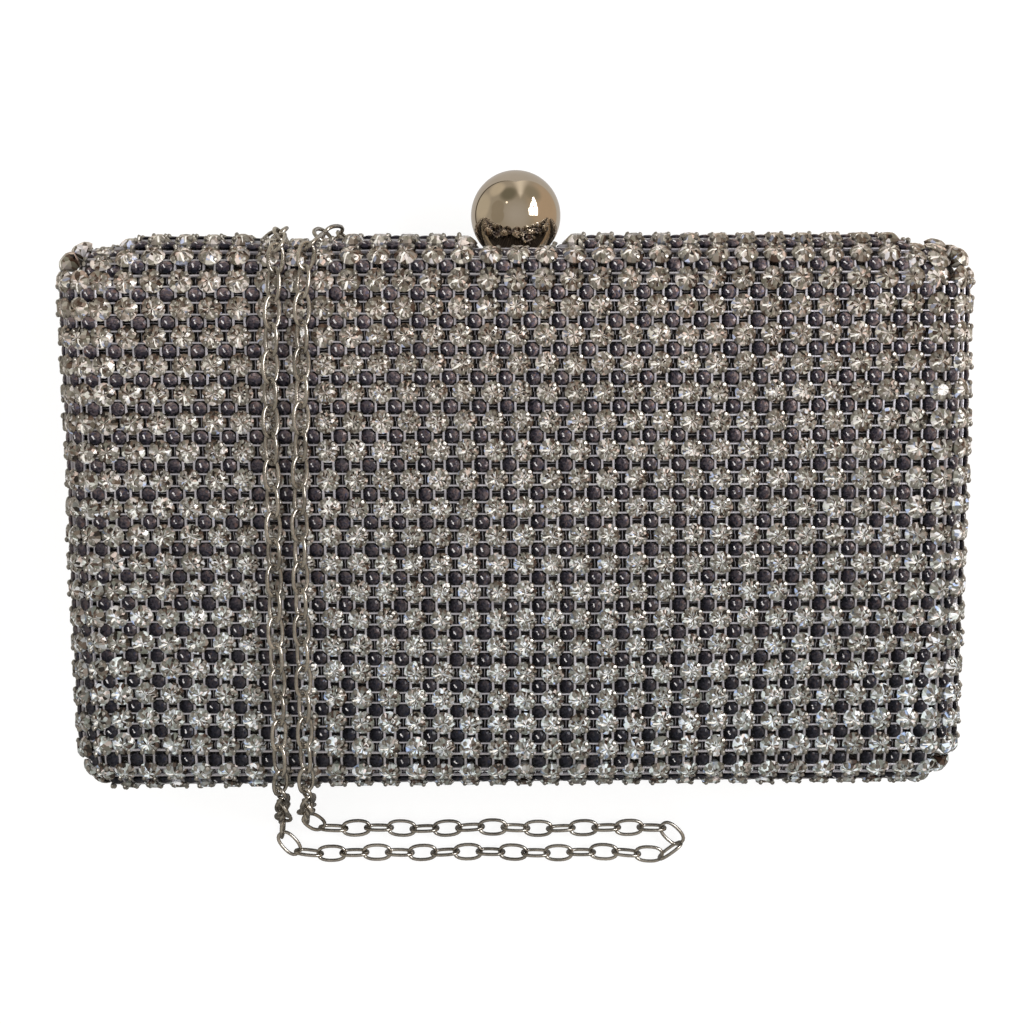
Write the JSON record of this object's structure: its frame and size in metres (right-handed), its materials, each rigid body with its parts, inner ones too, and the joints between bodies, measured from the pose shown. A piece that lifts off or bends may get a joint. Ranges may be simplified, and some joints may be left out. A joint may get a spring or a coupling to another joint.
{
  "type": "clutch bag",
  "caption": "Hard rectangular evening clutch with a crystal net over two hinged halves, a tilting mirror ball clasp and a laid cable chain.",
  "frame": {"origin": "centre of the back face, on which the bag lies, on the surface under it", "axes": "+X to the right seen from the front, +Y towards the ball clasp, +Z out of the front face"},
  "size_m": [0.2, 0.1699, 0.0451],
  "materials": {
    "crystal_net": "foiled clear brilliant crystals in silver-tone cups, with dark glossy domes and small bars between them",
    "backing_cloth": "fine black net cloth under the crystals",
    "shell": "pressed sheet, covered",
    "lining": "dark charcoal satin over card",
    "frame": "satin nickel plate",
    "hardware": "nickel plate, lightly brushed",
    "ball": "mirror polished warm nickel",
    "spring": "blued spring steel strip",
    "chain": "polished warm nickel wire links"
  },
  "bodies": {
    "rear_half": {"rear_crystal_net": "crystal_net", "rear_backing_cloth": "backing_cloth", "rear_shell": "shell", "rear_lining": "lining", "rear_frame": "frame", "rear_hinge_leaf_left": "hardware", "rear_hinge_leaf_right": "hardware", "hinge_pin_left": "hardware", "hinge_pin_right": "hardware", "latch_bracket": "hardware", "bracket_rivet_left": "hardware", "bracket_rivet_right": "hardware", "latch_pivot_pin": "hardware", "latch_spring": "spring", "chain_left_drop": "chain", "chain_floor_run": "chain", "chain_right_drop": "chain"},
    "front_half": {"front_crystal_net": "crystal_net", "front_backing_cloth": "backing_cloth", "front_shell": "shell", "front_lining": "lining", "front_frame": "frame", "front_hinge_leaf_left": "hardware", "front_hinge_leaf_right": "hardware", "striker_plate": "hardware", "striker_rivet_left": "hardware", "striker_rivet_right": "hardware", "chain_lug_left": "hardware", "chain_lug_right": "hardware", "jump_ring_left": "chain", "jump_ring_right": "chain", "chain_left_strand": "chain", "chain_right_strand": "chain"},
    "ball_latch": {"ball_knob": "ball", "knob_stem": "hardware", "latch_lever": "hardware"}
  },
  "joints": [
    {"name": "lid_hinge", "type": "hinge", "parent": "rear_half", "child": "front_half", "pos_m": [0, -0.0573, 0.02], "axis": [1, 0, 0], "range_deg": [0, 80], "deforming": ["chain_left_drop", "chain_right_drop"]},
    {"name": "latch_tilt", "type": "hinge", "parent": "rear_half", "child": "ball_latch", "pos_m": [0, 0.0455, 0.02], "axis": [-1, 0, 0], "range_deg": [0, 8], "stiffness_Nm_per_rad": 0.25, "springref_deg": -8.59, "deforming": ["latch_spring"]}
  ]
}
